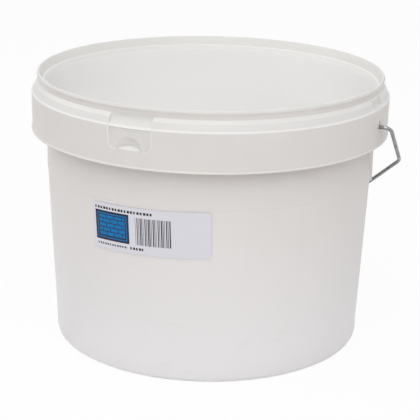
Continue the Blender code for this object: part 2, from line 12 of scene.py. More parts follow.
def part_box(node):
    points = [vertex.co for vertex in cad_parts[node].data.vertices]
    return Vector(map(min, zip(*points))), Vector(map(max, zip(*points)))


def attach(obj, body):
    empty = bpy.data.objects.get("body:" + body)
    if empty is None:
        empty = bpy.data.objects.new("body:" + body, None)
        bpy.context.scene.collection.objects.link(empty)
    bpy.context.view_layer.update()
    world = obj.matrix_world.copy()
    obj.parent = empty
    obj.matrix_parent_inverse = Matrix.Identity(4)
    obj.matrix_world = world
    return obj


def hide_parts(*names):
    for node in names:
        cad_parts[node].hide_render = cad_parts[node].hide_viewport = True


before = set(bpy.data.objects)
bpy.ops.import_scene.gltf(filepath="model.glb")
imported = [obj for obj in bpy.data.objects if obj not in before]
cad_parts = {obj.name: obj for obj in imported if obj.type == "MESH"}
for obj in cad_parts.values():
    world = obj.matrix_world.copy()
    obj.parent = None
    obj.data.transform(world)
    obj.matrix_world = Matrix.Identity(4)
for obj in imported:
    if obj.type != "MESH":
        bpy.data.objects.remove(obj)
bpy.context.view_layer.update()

MM = 0.001
SEGMENTS = 288              # round the tub
ROUND_STEPS = 4             # round a fillet

# ---- sizes ----

# From the frame
TUB_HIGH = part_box("tub")[1]
TUB_HEIGHT = TUB_HIGH.z
COLLAR_LOW_R = TUB_HIGH.x
GRIP_LOW, GRIP_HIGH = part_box("grip")

# Walls, and what reaches into them
WALL = 2.0 * MM
FLOOR = 2.4 * MM
OVERLAP = 0.6 * MM          # how far a web, boss or pad reaches into the wall that carries it
BLOCK_INSIDE = 0.8 * MM     # how far an ear's block stays behind the ledge's outside

# Rounds of the moulded edges
TINY_ROUND = 0.2 * MM
CRISP_ROUND = 0.3 * MM
FINE_ROUND = 0.4 * MM
SMALL_ROUND = 0.5 * MM
LIP_ROUND = 0.6 * MM
EDGE_ROUND = 0.7 * MM
INNER_ROUND = 0.8 * MM
SOFT_ROUND = 1.0 * MM
SHELF_ROUND = 3.0 * MM
WALL_BLEND = 20.0 * MM
FOOT_BLEND = 30.0 * MM

# Rim, ledge and collar. Drops are measured down from the top of the rim
COLLAR_FLARE = 0.3 * MM     # the collar is this much wider at its lower edge
COLLAR_DROP = 17.9 * MM
COLLAR_DEPTH = 34.8 * MM
CHAMFER = 1.5 * MM          # along the collar's upper edge
HEM_PROUD = 0.8 * MM        # the collar's lower edge stands out by this
HEM_HEIGHT = 0.7 * MM
HEM_TOP = 2.2 * MM          # where the hem has run out into the collar
LEDGE_WIDTH = 6.4 * MM      # collar's edge to neck
STEP_WIDTH = 3.5 * MM       # collar's edge to the crease between the two slopes
STEP_DROP = 11.1 * MM
NECK_DROP = 8.2 * MM
NECK_FOOT = 0.1 * MM        # what the pocket and window leave of the ledge at the neck
BEAD_PROUD = 1.4 * MM       # the rim's bead stands out from the neck by this
BEAD_DROP = 2.2 * MM
BEAD_UNDERSIDE = 2.4 * MM   # height of the slope from the bead back to the neck
CROWN_WIDTH = 1.6 * MM      # flat top of the rim
SEAT_DROP = 7.8 * MM        # depth of the steep lid seat inside the rim
SEAT_WIDTH = 2.5 * MM
SHELF_WIDTH = 1.8 * MM      # shelf at the seat's foot, on which the lid rests
SHELF_FALL = 1.0 * MM
SHELF_FOOT = 3.6 * MM       # seat's foot down to where the shelf has run out into the wall
ROOF_THICKNESS = 3.6 * MM   # neck's foot to the hollow under the ledge

# Wall and foot
COLLAR_STANDOFF = 13.8 * MM # collar's outside to the wall's outside
WALL_FLARE = 2.2 * MM       # the wall opens this much more behind the collar
THROAT_DEPTH = 36.2 * MM    # plain band from the collar down to a fine ring line
RING_STEP = 0.3 * MM
TAPER = 6.9 * MM            # the wall narrows by this from the ring line to the foot band
FOOT_BAND = 24.0 * MM       # height of the foot band, which is steeper than the wall
FOOT_TAPER = 0.8 * MM
FOOT_FILLET = 6.0 * MM
FOOT_RING = 7.0 * MM        # width of the ring that the tub stands on
FOOT_RISE = 3.0 * MM        # the base panel is this far above the floor
CORNER_FILLET = 8.0 * MM    # inside, between the wall and the floor
GATE_R = 5.0 * MM           # round boss under the middle, where the plastic was let in
GATE_PROUD = 0.6 * MM
GATE_SLOPE = 1.0 * MM
DISC_R = 3.0 * MM           # flat disc on the floor above it
DISC_RISE = 0.3 * MM
DISC_SLOPE = 1.0 * MM

# Ears. The two are alike, at +X and -X
PIVOT_DROP = 34.4 * MM
POCKET_WIDTH = 25.2 * MM
POCKET_WEB = 2.0 * MM
POCKET_HALF_ANGLE = math.radians(8.0)
KEYHOLE_SLOT = 2.8 * MM     # width of the keyhole's slot
KEYHOLE_RISE = 5.6 * MM     # pivot to the top of the slot
EAR_BOSS_R = 6.5 * MM
EAR_BOSS = 1.6 * MM         # thickness added to the collar round the keyhole

# Pads on the wall behind the ears, where the hanging bail comes near it
PAD_PROUD = 1.5 * MM
PAD_DEPTH = 45.5 * MM       # from the collar down
PAD_ANGLE = math.radians(22.5)      # from the ear to the middle of the pad
PAD_HALF_ANGLE = math.radians(30.0)
PAD_BOTTOM_WIDTH = 33.0 * MM
PAD_TOP_WIDTH = 116.0 * MM
PAD_FOOT_ROUND = 0.1 * MM

# Tear tab, in the front of the collar
FRONT = -math.pi / 2        # its direction, as an angle from +X
TAB_HALF_ANGLE = math.radians(8.5)
TAB_WIDTH = 40.0 * MM
TAB_LENGTH = 19.4 * MM      # the window's depth below the collar's upper edge
TAB_CORNER = 6.0 * MM
TAB_WALL = 2.0 * MM
TAB_RECESS = 0.6 * MM       # the panel lies this far behind the lip above it
TAB_HOLLOW = 0.6 * MM       # how far the tab's slope is dished
TAB_SLIT = 0.12 * MM
SLOPE_GAP = 0.3 * MM        # between the tab's slope and the neck
RAMP_GAP = 0.015 * MM       # between the tab and the thumb ramp
SLIT_HIGHLIGHT_HALF = 0.42 * MM       # half the width of the painted highlight along the slit
LIP_DEPTH = 0.4 * MM        # straight part of the lip's front
LIP_FOOT = 1.4 * MM         # lip's top down to the panel
LIP_BLEND = 0.5 * MM        # the panel starts this far behind its own face there
PANEL_START = 8.0 * MM      # lip's top down to where the panel has come out to its face
PANEL_BLEND = 6.0 * MM
TAB_INNER_ROUND = 2.0 * MM
SCOOP_R = 12.0 * MM
SCOOP_DEPTH = 4.0 * MM
SCOOP_WALL = 1.6 * MM
SCOOP_EASE = 0.1 * MM       # the tab's cut is this much wider than the scoop on each side
RAMP_SLOPE = math.radians(43.0)
BRIDGE_WIDTH = 1.4 * MM     # of one thin bridge along the slit
BRIDGE_REACH = 0.9 * MM     # of one thin bridge across the slit
BRIDGE_MIDDLE = 0.36 * MM   # the window's edge to a bridge's middle
BRIDGE_DEPTH = 1.0 * MM
BRIDGE_RECESS = 2.0 * MM    # panel's face to a bridge's back
BRIDGE_DROP = 3.6 * MM      # lip's top to the middle of the bridges beside the tab
BRIDGE_ASIDE = 1.2 * MM     # scoop's edge to the middle of the bridges below the tab

# Bail
WIRE_R = 1.75 * MM
PIN_CLEARANCE = 0.4 * MM    # round the wire in its keyhole
HOOK_CLEARANCE = 0.35 * MM  # between the wire's hook and the boss
RUN_CLEARANCE = 1.0 * MM    # between the hanging wire's long runs and the tub's widest wall
BAIL_STANDOFF = 10.28 * MM  # collar to the wire's bend outside the ear
SHOULDER_STANDOFF = 6.7 * MM        # collar to the wire's shoulder
SHOULDER_REACH = 60.3 * MM  # pivot axis to the shoulder
HOOK_LENGTH = 7.5 * MM
HOOK_BEND = 3.0 * MM
PIVOT_BEND = 6.0 * MM
SHOULDER_BEND = 18.0 * MM
MIDDLE_BEND = 18.0 * MM
WIRE_END = 0.35 * MM        # length of the wire's eased end
WIRE_END_SHARE = 0.8        # its width at the tip, as a share of the wire's

# Grip
GRIP_CLEARANCE = 0.35 * MM  # round the wire in the grip
GRIP_R = 9.0 * MM
GRIP_END_R = 8.0 * MM
GRIP_WAIST_R = 7.8 * MM
GRIP_SHOULDER = 0.8         # the fullest place, as a share of the way from the middle to an end
GRIP_END_ROUND = 1.2 * MM
GRIP_SHOULDER_ROUND = 4.0 * MM
RINGS = 9
RINGS_LENGTH = 0.65         # share of the grip that carries rings
RING_TOP = 0.64             # share of a ring's pitch that its top takes
RING_FOOT = 0.92            # share of a ring's pitch that its foot takes
GROOVE = 0.9 * MM           # depth between two rings

# Label
LABEL_WIDTH = 112.2 * MM
LABEL_HEIGHT = 42.6 * MM
LABEL_CORNER = 3.0 * MM
LABEL_THICKNESS = 0.25 * MM
LABEL_GAP = 0.3 * MM        # between the wall and the film
LABEL_DROP = 2.6 * MM       # ring line to the label's upper edge, at its middle
LABEL_OFFSET = 10.2 * MM    # to the right of the tab's centre line
LABEL_TILT = math.radians(1.3)

# Worked out
COLLAR_R = COLLAR_LOW_R - COLLAR_FLARE
COLLAR_TOP_Z = TUB_HEIGHT - COLLAR_DROP
COLLAR_BOTTOM_Z = COLLAR_TOP_Z - COLLAR_DEPTH
NECK_R = COLLAR_R - LEDGE_WIDTH
NECK_Z = TUB_HEIGHT - NECK_DROP
STEP_R = COLLAR_R - STEP_WIDTH
STEP_Z = TUB_HEIGHT - STEP_DROP
BEAD_R = NECK_R + BEAD_PROUD
BEAD_Z = TUB_HEIGHT - BEAD_DROP
CROWN_R = BEAD_R - EDGE_ROUND
SEAT_R = CROWN_R - CROWN_WIDTH - SEAT_WIDTH
SEAT_Z = TUB_HEIGHT - SEAT_DROP
SHELF_FOOT_Z = SEAT_Z - SHELF_FOOT
ROOF_Z = NECK_Z - ROOF_THICKNESS
CUT_R = NECK_R + NECK_FOOT
THROAT_R = COLLAR_R - COLLAR_STANDOFF
FLARED_R = THROAT_R + WALL_FLARE
RING_Z = COLLAR_BOTTOM_Z - THROAT_DEPTH
FOOT_BAND_R = THROAT_R - RING_STEP - TAPER
FOOT_R = FOOT_BAND_R - FOOT_TAPER
PIVOT_Z = TUB_HEIGHT - PIVOT_DROP
BOSS_FACE_R = COLLAR_R - WALL - EAR_BOSS
HOLE_R = WIRE_R + PIN_CLEARANCE
PAD_R = THROAT_R + PAD_PROUD
PAD_BOTTOM_Z = COLLAR_BOTTOM_Z - PAD_DEPTH
TAB_BOTTOM_Z = COLLAR_TOP_Z - TAB_LENGTH
TAB_TOP_Z = NECK_Z + EDGE_ROUND
TAB_INNER_R = CUT_R + SLOPE_GAP
PANEL_R = COLLAR_R - TAB_RECESS
SCOOP_BALL_R = (SCOOP_R ** 2 + SCOOP_DEPTH ** 2) / (2 * SCOOP_DEPTH)
SCOOP_BALL_Y = -(PANEL_R - SCOOP_DEPTH + SCOOP_BALL_R)
GRIP_AXIS = (GRIP_LOW + GRIP_HIGH) / 2
BAIL_REACH = math.hypot(GRIP_AXIS.y, PIVOT_Z - GRIP_AXIS.z)
HANG_ANGLE = math.atan2(PIVOT_Z - GRIP_AXIS.z, GRIP_AXIS.y)
LABEL_Z = RING_Z - LABEL_DROP - LABEL_HEIGHT / 2


# ---- modelling by hand ----

def in_object_mode():
    if bpy.context.mode != "OBJECT":
        bpy.ops.object.mode_set(mode="OBJECT")


def choose_nothing():
    in_object_mode()
    bpy.ops.object.select_all(action="DESELECT")


def choose(item):
    choose_nothing()
    item.select_set(True)
    bpy.context.view_layer.objects.active = item


def edit(item):
    choose(item)
    bpy.ops.object.mode_set(mode="EDIT")


def settle(item):
    """Applies the object's place, turn and scale to its mesh."""
    choose(item)
    bpy.ops.object.transform_apply()


def move_all(value):
    bpy.ops.mesh.select_all(action="SELECT")
    bpy.ops.transform.translate(value=value)


def extrude(value):
    bpy.ops.mesh.extrude_region_move(TRANSFORM_OT_translate={"value": value})


def trace(name, outline):
    """Extrudes a vertex along an outline, left in edit mode with its last vertex selected."""
    choose_nothing()
    bpy.ops.mesh.primitive_plane_add(size=MM)
    item = bpy.context.object
    item.name = name
    bpy.ops.object.mode_set(mode="EDIT")
    bpy.ops.mesh.merge(type="CENTER")
    bpy.ops.transform.translate(value=outline[0])
    for here, there in zip(outline, outline[1:]):
        extrude(there - here)
    return item


def close_up(item, merge=0.005 * MM):
    """Merges doubles and points every face outwards."""
    edit(item)
    bpy.ops.mesh.select_all(action="SELECT")
    bpy.ops.mesh.remove_doubles(threshold=merge)
    bpy.ops.mesh.normals_make_consistent(inside=False)
    in_object_mode()


def swing(steps, angle, centre=(0.0, 0.0, 0.0)):
    """Spins the selection about Z, anticlockwise seen from above."""
    bpy.ops.mesh.spin(steps=steps, angle=-angle, center=centre, axis=(0.0, 0.0, 1.0))


def fill_outline():
    bpy.ops.mesh.select_all(action="SELECT")
    bpy.ops.mesh.edge_face_add()


def rounded(corners, steps=ROUND_STEPS):
    """Points of an outline whose corners are (x, z) or (x, z, fillet radius), in the XZ plane."""
    points = []
    for index, corner in enumerate(corners):
        here = Vector(corner[:2])
        radius = corner[2] if len(corner) > 2 else 0.0
        if radius == 0.0:
            points.append(here)
            continue
        to_last = (Vector(corners[index - 1][:2]) - here).normalized()
        to_next = (Vector(corners[(index + 1) % len(corners)][:2]) - here).normalized()
        half = to_last.angle(to_next) / 2
        centre = here + (to_last + to_next).normalized() * radius / math.sin(half)
        start = here + to_last * radius / math.tan(half) - centre
        turn = start.angle_signed(here + to_next * radius / math.tan(half) - centre)
        for step in range(steps + 1):
            spoke = start.copy()
            spoke.rotate(Matrix.Rotation(-turn * step / steps, 2))
            points.append(centre + spoke)
    return [Vector((point.x, 0.0, point.y)) for point in points]


def turned(name, outline, steps=SEGMENTS):
    """A closed skin turned about Z from a line whose ends lie on the axis, or that closes itself."""
    item = trace(name, outline)
    bpy.ops.mesh.select_all(action="SELECT")
    swing(steps, math.tau)
    close_up(item)
    return item


def sector(name, outline, middle, half_angle, steps):
    """A solid turned about Z through a sector, from a closed outline. The middle is an angle from +X."""
    item = trace(name, outline)
    fill_outline()
    in_object_mode()
    item.rotation_euler.z = middle - half_angle
    settle(item)
    edit(item)
    bpy.ops.mesh.select_all(action="SELECT")
    swing(steps, 2 * half_angle)
    close_up(item)
    return item


def prism(name, outline, depth, angle, start):
    """An outline in the XZ plane made a prism that faces outwards at an angle from +X."""
    item = trace(name, outline)
    fill_outline()
    extrude((0.0, -depth, 0.0))
    move_all((0.0, -start, 0.0))
    in_object_mode()
    item.rotation_euler.z = angle + math.pi / 2
    settle(item)
    close_up(item)
    return item


def slab(name, low, high):
    """A cube scaled to reach from one corner to the other."""
    choose_nothing()
    low, high = Vector(low), Vector(high)
    bpy.ops.mesh.primitive_cube_add(size=1.0, location=(low + high) / 2)
    item = bpy.context.object
    item.name = name
    item.scale = high - low
    settle(item)
    return item


def combine(item, tool, operation):
    """Applies a Boolean and removes its tool."""
    choose(item)
    bpy.ops.object.modifier_add(type="BOOLEAN")
    modifier = item.modifiers[-1]
    modifier.operation = operation
    modifier.solver = "EXACT"
    modifier.object = tool
    bpy.ops.object.modifier_apply(modifier=modifier.name)
    bpy.data.objects.remove(tool, do_unlink=True)
    return item


def smooth(item, angle=30):
    choose(item)
    bpy.ops.object.shade_smooth_by_angle(angle=math.radians(angle))


# ---- tub ----

def wall_radius(z):
    """Outer radius of the bare wall below the collar."""
    if z >= RING_Z:
        return THROAT_R
    if z <= FOOT_BAND:
        return FOOT_R + (FOOT_BAND_R - FOOT_R) * z / FOOT_BAND
    share = (z - FOOT_BAND) / (RING_Z - FOOT_BAND)
    return FOOT_BAND_R + (THROAT_R - RING_STEP - FOOT_BAND_R) * share


def collared_radius(z):
    """Outer radius of the wall behind the collar, where it opens towards the rim."""
    return THROAT_R + (FLARED_R - THROAT_R) * (z - COLLAR_BOTTOM_Z) / (NECK_Z - WALL - COLLAR_BOTTOM_Z)


def tub_outline():
    """From the middle of the underside, up the outside, over the rim and back down the inside."""
    ring_inner = FOOT_R - FOOT_FILLET - FOOT_RING
    floor_z = FOOT_RISE + FLOOR
    return rounded([
        (0.0, FOOT_RISE - GATE_PROUD),
        (GATE_R, FOOT_RISE - GATE_PROUD, FINE_ROUND),
        (GATE_R + GATE_SLOPE, FOOT_RISE, FINE_ROUND),
        (ring_inner - FOOT_RISE / 2, FOOT_RISE, SOFT_ROUND),
        (ring_inner, 0.0, INNER_ROUND),
        (FOOT_R, 0.0, FOOT_FILLET),
        (FOOT_BAND_R, FOOT_BAND, FOOT_BLEND),
        (THROAT_R - RING_STEP, RING_Z),
        (THROAT_R, RING_Z + RING_STEP),
        (THROAT_R, COLLAR_BOTTOM_Z, WALL_BLEND),
        (collared_radius(ROOF_Z), ROOF_Z, SOFT_ROUND),
        (STEP_R - WALL * 1.2, ROOF_Z, TINY_ROUND),
        (STEP_R - WALL * 0.8, STEP_Z - WALL * 0.8, SOFT_ROUND),
        (COLLAR_R - WALL, COLLAR_TOP_Z - WALL / 2, INNER_ROUND),
        (COLLAR_LOW_R - WALL, COLLAR_BOTTOM_Z, SMALL_ROUND),
        (COLLAR_LOW_R, COLLAR_BOTTOM_Z, CRISP_ROUND),
        (COLLAR_LOW_R, COLLAR_BOTTOM_Z + HEM_HEIGHT, CRISP_ROUND),
        (COLLAR_LOW_R - HEM_PROUD, COLLAR_BOTTOM_Z + HEM_TOP, SMALL_ROUND),
        (COLLAR_R, COLLAR_TOP_Z, CRISP_ROUND),
        (COLLAR_R - CHAMFER, COLLAR_TOP_Z + CHAMFER, CRISP_ROUND),
        (STEP_R, STEP_Z, SMALL_ROUND),
        (NECK_R, NECK_Z, LIP_ROUND),
        (NECK_R, BEAD_Z - BEAD_UNDERSIDE, SMALL_ROUND),
        (BEAD_R, BEAD_Z, LIP_ROUND),
        (CROWN_R, TUB_HEIGHT, EDGE_ROUND),
        (CROWN_R - CROWN_WIDTH, TUB_HEIGHT, LIP_ROUND),
        (SEAT_R, SEAT_Z, CRISP_ROUND),
        (SEAT_R - SHELF_WIDTH, SEAT_Z - SHELF_FALL, LIP_ROUND),
        (collared_radius(SHELF_FOOT_Z) - WALL, SHELF_FOOT_Z, SHELF_ROUND),
        (THROAT_R - WALL, COLLAR_BOTTOM_Z, WALL_BLEND),
        (THROAT_R - WALL, RING_Z, WALL_BLEND),
        (FOOT_BAND_R - WALL, FOOT_BAND, WALL_BLEND),
        (FOOT_R - WALL, floor_z, CORNER_FILLET),
        (DISC_R + DISC_SLOPE, floor_z, CRISP_ROUND),
        (DISC_R, floor_z + DISC_RISE, CRISP_ROUND),
        (0.0, floor_z + DISC_RISE),
    ])


def ear_block(angle):
    """Solid ends and floor of one ledge pocket, under the ledge."""
    low = COLLAR_TOP_Z - POCKET_WEB
    high = ROOF_Z + OVERLAP
    half = POCKET_WIDTH / 2 + POCKET_WEB
    return sector("ear_block", rounded([
        (collared_radius(low) - OVERLAP, low),
        (COLLAR_R - BLOCK_INSIDE, low),
        (COLLAR_R - BLOCK_INSIDE, COLLAR_TOP_Z - BLOCK_INSIDE),
        (STEP_R - BLOCK_INSIDE, STEP_Z - BLOCK_INSIDE),
        (NECK_R, high),
        (collared_radius(ROOF_Z) - OVERLAP, high),
    ]), angle, half / COLLAR_R, steps=24)


def ear_rib(angle, side):
    """One web between the wall and the collar, beside an ear."""
    low = COLLAR_BOTTOM_Z + WALL
    top = COLLAR_TOP_Z - OVERLAP
    middle = (POCKET_WIDTH + POCKET_WEB) / 2 / COLLAR_R
    return sector("ear_rib", rounded([
        (collared_radius(low) - OVERLAP, low),
        (COLLAR_R - OVERLAP, low),
        (COLLAR_R - OVERLAP, top),
        (collared_radius(top) - OVERLAP, top),
    ]), angle + side * middle, POCKET_WEB / 2 / COLLAR_R, steps=2)


def round_pivot(radius, turn):
    """A point on a circle round the bail's pivot, in the XZ plane."""
    return Vector((radius * math.cos(turn), 0.0, PIVOT_Z + radius * math.sin(turn)))


def ear_boss(angle):
    """Thickening round a keyhole, on the collar's inner side."""
    steps = 48
    disc = [round_pivot(EAR_BOSS_R, math.tau * n / steps) for n in range(steps)]
    return prism("ear_boss", disc, EAR_BOSS + OVERLAP, angle, BOSS_FACE_R)


def keyhole(angle):
    """A round hole for the wire, with a slot above it that lets the hook through."""
    steps = 32
    half = KEYHOLE_SLOT / 2
    start = math.acos(half / HOLE_R)
    sweep = math.tau - (math.pi - 2 * start)
    outline = [round_pivot(HOLE_R, start - sweep * n / steps) for n in range(steps + 1)]
    outline += [Vector((-half, 0.0, PIVOT_Z + KEYHOLE_RISE)), Vector((half, 0.0, PIVOT_Z + KEYHOLE_RISE))]
    return prism("keyhole", outline, 4 * WALL, angle, BOSS_FACE_R - WALL / 2)


def ledge_pocket(angle):
    """Cuts the ledge away over an ear, down to a floor level with the collar's edge."""
    back = CUT_R + EDGE_ROUND
    ring = sector("ledge_pocket", rounded([
        (back, COLLAR_TOP_Z, SMALL_ROUND),
        (COLLAR_R + WALL, COLLAR_TOP_Z),
        (COLLAR_R + WALL, NECK_Z + EDGE_ROUND),
        (back, NECK_Z + EDGE_ROUND),
    ]), angle, POCKET_HALF_ANGLE, steps=48)
    half = POCKET_WIDTH / 2
    across = slab("pocket_span", (-COLLAR_R * 2, -half, 0), (COLLAR_R * 2, half, TUB_HEIGHT * 2))
    return combine(ring, across, "INTERSECT")


def bail_pad(side):
    """A raised pad whose slanting sides narrow downwards, behind the ear on one side."""
    angle = math.pi / 2 - side * (math.pi / 2 - PAD_ANGLE)
    band = sector("bail_pad", rounded([
        (wall_radius(PAD_BOTTOM_Z) - OVERLAP, PAD_BOTTOM_Z),
        (wall_radius(PAD_BOTTOM_Z) + RING_STEP, PAD_BOTTOM_Z, PAD_FOOT_ROUND),
        (PAD_R, PAD_BOTTOM_Z + PAD_PROUD, INNER_ROUND),
        (PAD_R, COLLAR_BOTTOM_Z + WALL),
        (THROAT_R - OVERLAP, COLLAR_BOTTOM_Z + WALL),
    ]), angle, PAD_HALF_ANGLE, steps=96)
    low = PAD_BOTTOM_WIDTH / 2
    top = PAD_TOP_WIDTH / 2
    outline = rounded([
        (-low, PAD_BOTTOM_Z - WALL),
        (low, PAD_BOTTOM_Z - WALL),
        (top, COLLAR_BOTTOM_Z + 2 * WALL),
        (-top, COLLAR_BOTTOM_Z + 2 * WALL),
    ])
    return combine(band, prism("pad_span", outline, COLLAR_R, angle, 0.0), "INTERSECT")


def window_prism(inset):
    """The tab's outline seen from the front, drawn in by an inset and carried right through."""
    half = TAB_WIDTH / 2 - inset
    bottom = TAB_BOTTOM_Z + inset
    corner = TAB_CORNER - inset
    outline = rounded([
        (-half, bottom, corner),
        (half, bottom, corner),
        (half, TAB_TOP_Z),
        (-half, TAB_TOP_Z),
    ], steps=10)
    return prism("window_prism", outline, COLLAR_R * 1.2, FRONT, 0.0)


def tab_window():
    """The opening in the collar and ledge that the tear tab fills."""
    ring = sector("tab_window", rounded([
        (CUT_R, TAB_BOTTOM_Z - WALL),
        (COLLAR_R + WALL, TAB_BOTTOM_Z - WALL),
        (COLLAR_R + WALL, TAB_TOP_Z),
        (CUT_R, TAB_TOP_Z),
    ]), FRONT, TAB_HALF_ANGLE, steps=40)
    return combine(ring, window_prism(0.0), "INTERSECT")


def scoop_ball(radius):
    """A ball whose poles face front and back, so that its even faces show in the scoop."""
    choose_nothing()
    bpy.ops.mesh.primitive_uv_sphere_add(segments=96, ring_count=48, radius=radius,
                                         location=(0.0, SCOOP_BALL_Y, TAB_BOTTOM_Z))
    item = bpy.context.object
    item.rotation_euler.x = math.pi / 2
    settle(item)
    return item


def under_ramp(lift, half_width):
    """A wedge under the ramp's plane, which rises inwards from the collar's face."""
    rise = SCOOP_R * math.tan(RAMP_SLOPE)
    # drawn over +X, so it is turned to the front after it gets its width
    item = trace("under_ramp", rounded([
        (PANEL_R, TAB_BOTTOM_Z - rise),
        (PANEL_R, TAB_BOTTOM_Z + lift),
        (PANEL_R - SCOOP_R, TAB_BOTTOM_Z + lift + rise),
        (PANEL_R - SCOOP_R, TAB_BOTTOM_Z - rise),
    ]))
    fill_outline()
    extrude((0.0, 2 * half_width, 0.0))
    move_all((0.0, -half_width, 0.0))
    in_object_mode()
    item.rotation_euler.z = FRONT
    settle(item)
    close_up(item)
    return item


def thumb_ramp():
    """The lower half of the thumb scoop, standing on the collar under the tab."""
    ramp = scoop_ball(SCOOP_BALL_R)
    combine(ramp, under_ramp(0.0, SCOOP_R), "INTERSECT")
    trim = sector("ramp_trim", rounded([
        (NECK_R, TAB_BOTTOM_Z - 2 * WALL),
        (PANEL_R, TAB_BOTTOM_Z - 2 * WALL),
        (PANEL_R, TAB_BOTTOM_Z + SCOOP_R),
        (NECK_R, TAB_BOTTOM_Z + SCOOP_R),
    ]), FRONT, TAB_HALF_ANGLE, steps=40)
    return combine(ramp, trim, "INTERSECT")


def bridge(x, z, width, height):
    """A thin nub across the slit, from the collar towards the tab."""
    y = -math.sqrt((PANEL_R - BRIDGE_RECESS) ** 2 - x ** 2)
    low = (x - width / 2, y - BRIDGE_DEPTH, z - height / 2)
    return slab("bridge", low, (x + width / 2, y, z + height / 2))


def model_tub():
    tub = turned("tub_shell", tub_outline())
    for angle in (0.0, math.pi):
        combine(tub, ear_block(angle), "UNION")
        combine(tub, ear_rib(angle, 1), "UNION")
        combine(tub, ear_rib(angle, -1), "UNION")
        combine(tub, ear_boss(angle), "UNION")
    combine(tub, bail_pad(1), "UNION")
    combine(tub, bail_pad(-1), "UNION")
    for angle in (0.0, math.pi):
        combine(tub, ledge_pocket(angle), "DIFFERENCE")
        combine(tub, keyhole(angle), "DIFFERENCE")
    combine(tub, tab_window(), "DIFFERENCE")
    combine(tub, thumb_ramp(), "UNION")
    for side in (-1, 1):
        beside = side * (TAB_WIDTH / 2 + BRIDGE_MIDDLE)
        below = side * (SCOOP_R + BRIDGE_ASIDE)
        combine(tub, bridge(beside, COLLAR_TOP_Z - BRIDGE_DROP, BRIDGE_REACH, BRIDGE_WIDTH), "UNION")
        combine(tub, bridge(below, TAB_BOTTOM_Z - BRIDGE_MIDDLE, BRIDGE_WIDTH, BRIDGE_REACH), "UNION")
    close_up(tub, merge=0.001 * MM)
    smooth(tub)
    return tub


# ---- tear tab ----

def tab_outline():
    """Section of the tab: the dished slope from the neck, the lip, and the panel below it."""
    top = Vector((TAB_INNER_R, NECK_Z))
    lip = Vector((COLLAR_R - CHAMFER, COLLAR_TOP_Z + CHAMFER))
    run = lip - top
    across = Vector((run.y, -run.x)).normalized()
    shares = [n / 12 for n in range(12)]
    slope = [top + run * share + across * 4 * TAB_HOLLOW * share * (1 - share) for share in shares]
    inner = PANEL_R - TAB_WALL
    return rounded([tuple(point) for point in slope] + [
        (lip.x, lip.y, FINE_ROUND),
        (COLLAR_R, COLLAR_TOP_Z, CRISP_ROUND),
        (COLLAR_R, COLLAR_TOP_Z - LIP_DEPTH, TINY_ROUND),
        (PANEL_R - LIP_BLEND, COLLAR_TOP_Z - LIP_FOOT, FINE_ROUND),
        (PANEL_R, COLLAR_TOP_Z - PANEL_START, PANEL_BLEND),
        (PANEL_R, TAB_BOTTOM_Z),
        (inner, TAB_BOTTOM_Z),
        (inner, COLLAR_TOP_Z - TAB_WALL, TAB_INNER_ROUND),
        (STEP_R - TAB_WALL, STEP_Z - 1.4 * TAB_WALL, TAB_INNER_ROUND),
        (TAB_INNER_R, NECK_Z - 1.4 * TAB_WALL),
    ])


def scoop_shell():
    """The thickness behind the thumb scoop."""
    shell = scoop_ball(SCOOP_BALL_R + SCOOP_WALL)
    inner = COLLAR_R - 3 * WALL - SCOOP_DEPTH
    keep = sector("shell_keep", rounded([
        (inner, TAB_BOTTOM_Z + TAB_SLIT),
        (PANEL_R - TAB_WALL / 2, TAB_BOTTOM_Z + TAB_SLIT),
        (PANEL_R - TAB_WALL / 2, COLLAR_TOP_Z - TAB_WALL),
        (inner, COLLAR_TOP_Z - TAB_WALL),
    ]), FRONT, TAB_HALF_ANGLE, steps=40)
    return combine(shell, keep, "INTERSECT")


def model_tab():
    tab = sector("tab_panel", tab_outline(), FRONT, TAB_HALF_ANGLE, steps=64)
    combine(tab, window_prism(TAB_SLIT), "INTERSECT")
    combine(tab, scoop_shell(), "UNION")
    combine(tab, scoop_ball(SCOOP_BALL_R), "DIFFERENCE")
    combine(tab, under_ramp(RAMP_GAP, SCOOP_R + SCOOP_EASE), "DIFFERENCE")
    smooth(tab)
    return tab


# ---- bail ----

def bail_corners():
    """Half of the wire, from its middle to its hook: (along X, away from the axis, bend radius)."""
    hook_x = BOSS_FACE_R - HOOK_CLEARANCE - WIRE_R
    flat = math.cos(HANG_ANGLE)
    shoulder = Vector((COLLAR_R + SHOULDER_STANDOFF, SHOULDER_REACH * flat))
    circle = THROAT_R + RUN_CLEARANCE
    touch = math.atan2(shoulder.y, shoulder.x) + math.acos(circle / shoulder.length)
    middle = (circle - BAIL_REACH * flat * math.sin(touch)) / math.cos(touch)
    return [
        (0.0, BAIL_REACH),
        (middle, BAIL_REACH, MIDDLE_BEND),
        (COLLAR_R + SHOULDER_STANDOFF, SHOULDER_REACH, SHOULDER_BEND),
        (COLLAR_R + BAIL_STANDOFF, 0.0, PIVOT_BEND),
        (hook_x, 0.0, HOOK_BEND),
        (hook_x, -HOOK_LENGTH),
    ]


def flat_circle():
    """The wire's section at its middle, left in edit mode and selected."""
    choose_nothing()
    bpy.ops.mesh.primitive_circle_add(vertices=24, radius=WIRE_R, fill_type="NOTHING",
                                      location=(0.0, BAIL_REACH, 0.0), rotation=(0.0, math.pi / 2, 0.0))
    wire = bpy.context.object
    wire.name = "bail"
    settle(wire)
    edit(wire)
    bpy.ops.mesh.select_all(action="SELECT")
    return wire


